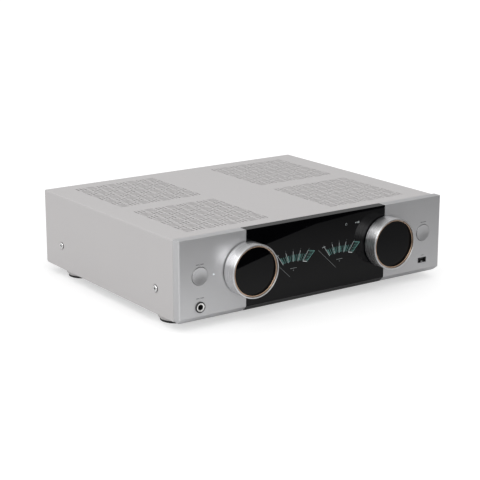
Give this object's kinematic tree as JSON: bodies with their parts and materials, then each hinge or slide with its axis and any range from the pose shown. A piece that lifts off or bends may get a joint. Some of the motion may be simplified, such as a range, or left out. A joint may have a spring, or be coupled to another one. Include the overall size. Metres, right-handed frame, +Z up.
{
  "type": "network music streamer",
  "caption": "Full-width network music streamer with built-in amplifier: grey cover with woven vents, dark meter window, large knobs, push buttons, rear sockets and fold-down antennas.",
  "frame": {"origin": "on the ground under the middle of the bounding box", "axes": "+X to the right as seen from the front, +Y towards the rear, so the front faces -Y, +Z up"},
  "size_m": [0.4372, 0.3974, 0.1192],
  "materials": {
    "cover_paint": "fine-texture warm grey paint",
    "zinc_plated_steel": "zinc-plated sheet",
    "rear_paint": "satin black paint",
    "fascia_aluminium": "fine satin anodised",
    "window_glass": "dark gloss pane",
    "knob_aluminium": "turned, clear anodised",
    "knob_disc_gloss": "black gloss",
    "ring_copper": "copper-toned anodised ring",
    "button_aluminium": "satin anodised",
    "black_plastic": "moulded black",
    "display_plastic": "dark display panel",
    "light_pipe": "clear white",
    "circuit_board": "solder mask",
    "bright_nickel": "bright nickel plate",
    "screw_steel": "zinc-plated",
    "foot_paint": "warm grey, as the cover",
    "foot_rubber": "black rubber",
    "silicone": "soft silicone",
    "heatsink_aluminium": "black anodised extrusion",
    "transformer_wrap": "varnished film wrap",
    "capacitor_sleeve": "dark sleeve",
    "terminal_brass": "gold-plated brass",
    "red_plastic": "red moulded",
    "antenna_plastic": "satin black"
  },
  "bodies": {
    "chassis": {"amplifier_board": "circuit_board", "base_pan": "zinc_plated_steel", "board_supports": "screw_steel", "chassis_screws": "screw_steel", "control_boards": "circuit_board", "cover_screws": "screw_steel", "display_housing": "black_plastic", "display_panel": "display_plastic", "display_window": "window_glass", "encoder_nuts": "screw_steel", "ethernet_jack": "bright_nickel", "foot_cups": "foot_paint", "foot_pads": "foot_rubber", "foot_screws": "screw_steel", "front_board": "circuit_board", "front_subchassis": "zinc_plated_steel", "hdmi_jack": "bright_nickel", "headphone_jack": "black_plastic", "headphone_nut": "bright_nickel", "heatsink": "heatsink_aluminium", "left_fascia": "fascia_aluminium", "main_board": "circuit_board", "network_module": "bright_nickel", "output_transistors": "black_plastic", "phono_jacks": "terminal_brass", "power_board": "circuit_board", "power_button_sleeve": "silicone", "power_inlet": "black_plastic", "power_inlet_blades": "terminal_brass", "rear_panel": "rear_paint", "reservoir_capacitors": "capacitor_sleeve", "right_fascia": "fascia_aluminium", "rotary_encoders": "zinc_plated_steel", "select_button_sleeve": "silicone", "speaker_posts": "terminal_brass", "speaker_terminal_plate": "black_plastic", "status_light_pipe": "light_pipe", "top_cover": "cover_paint", "toroidal_transformer": "transformer_wrap", "transformer_clamp": "screw_steel", "usb_shells": "bright_nickel", "usb_tongues": "black_plastic"},
    "volume_knob": {"volume_knob_shell": "knob_aluminium", "volume_knob_ring": "ring_copper", "volume_knob_disc": "knob_disc_gloss", "volume_encoder_shaft": "screw_steel"},
    "input_knob": {"input_knob_shell": "knob_aluminium", "input_knob_ring": "ring_copper", "input_knob_disc": "knob_disc_gloss", "input_encoder_shaft": "screw_steel"},
    "power_key": {"power_button": "button_aluminium"},
    "select_key": {"select_button": "button_aluminium"},
    "left_antenna_swivel": {"left_antenna_base": "antenna_plastic"},
    "left_antenna_arm": {"left_antenna_rod": "antenna_plastic"},
    "right_antenna_swivel": {"right_antenna_base": "antenna_plastic"},
    "right_antenna_arm": {"right_antenna_rod": "antenna_plastic"},
    "left_plus_cap": {"left_plus_cap": "red_plastic"},
    "left_minus_cap": {"left_minus_cap": "black_plastic"},
    "right_plus_cap": {"right_plus_cap": "red_plastic"},
    "right_minus_cap": {"right_minus_cap": "black_plastic"}
  },
  "joints": [
    {"name": "volume_turn", "type": "hinge", "parent": "chassis", "child": "volume_knob", "pos_m": [-0.1154, -0.17635, 0.0691], "axis": [0, 1, 0], "continuous": true},
    {"name": "input_turn", "type": "hinge", "parent": "chassis", "child": "input_knob", "pos_m": [0.1154, -0.17635, 0.0691], "axis": [0, 1, 0], "continuous": true},
    {"name": "power_press", "type": "slide", "parent": "chassis", "child": "power_key", "axis": [0, 1, 0], "range_m": [0, 0.0012], "stiffness_N_per_m": 1500, "springref_m": -0.0004, "deforming": ["power_button_sleeve"]},
    {"name": "select_press", "type": "slide", "parent": "chassis", "child": "select_key", "axis": [0, 1, 0], "range_m": [0, 0.0012], "stiffness_N_per_m": 1500, "springref_m": -0.0004, "deforming": ["select_button_sleeve"]},
    {"name": "left_antenna_turn", "type": "hinge", "parent": "chassis", "child": "left_antenna_swivel", "pos_m": [-0.196, 0.17565, 0.102], "axis": [0, 1, 0], "range_deg": [0, 180]},
    {"name": "left_antenna_fold", "type": "hinge", "parent": "left_antenna_swivel", "child": "left_antenna_arm", "pos_m": [-0.196, 0.18865, 0.102], "axis": [1, 0, 0], "range_deg": [0, 90]},
    {"name": "right_antenna_turn", "type": "hinge", "parent": "chassis", "child": "right_antenna_swivel", "pos_m": [0.196, 0.17565, 0.102], "axis": [0, -1, 0], "range_deg": [0, 180]},
    {"name": "right_antenna_fold", "type": "hinge", "parent": "right_antenna_swivel", "child": "right_antenna_arm", "pos_m": [0.196, 0.18865, 0.102], "axis": [1, 0, 0], "range_deg": [0, 90]},
    {"name": "left_plus_undo", "type": "slide", "parent": "chassis", "child": "left_plus_cap", "axis": [0, 1, 0], "range_m": [0, 0.004]},
    {"name": "left_minus_undo", "type": "slide", "parent": "chassis", "child": "left_minus_cap", "axis": [0, 1, 0], "range_m": [0, 0.004]},
    {"name": "right_plus_undo", "type": "slide", "parent": "chassis", "child": "right_plus_cap", "axis": [0, 1, 0], "range_m": [0, 0.004]},
    {"name": "right_minus_undo", "type": "slide", "parent": "chassis", "child": "right_minus_cap", "axis": [0, 1, 0], "range_m": [0, 0.004]}
  ]
}
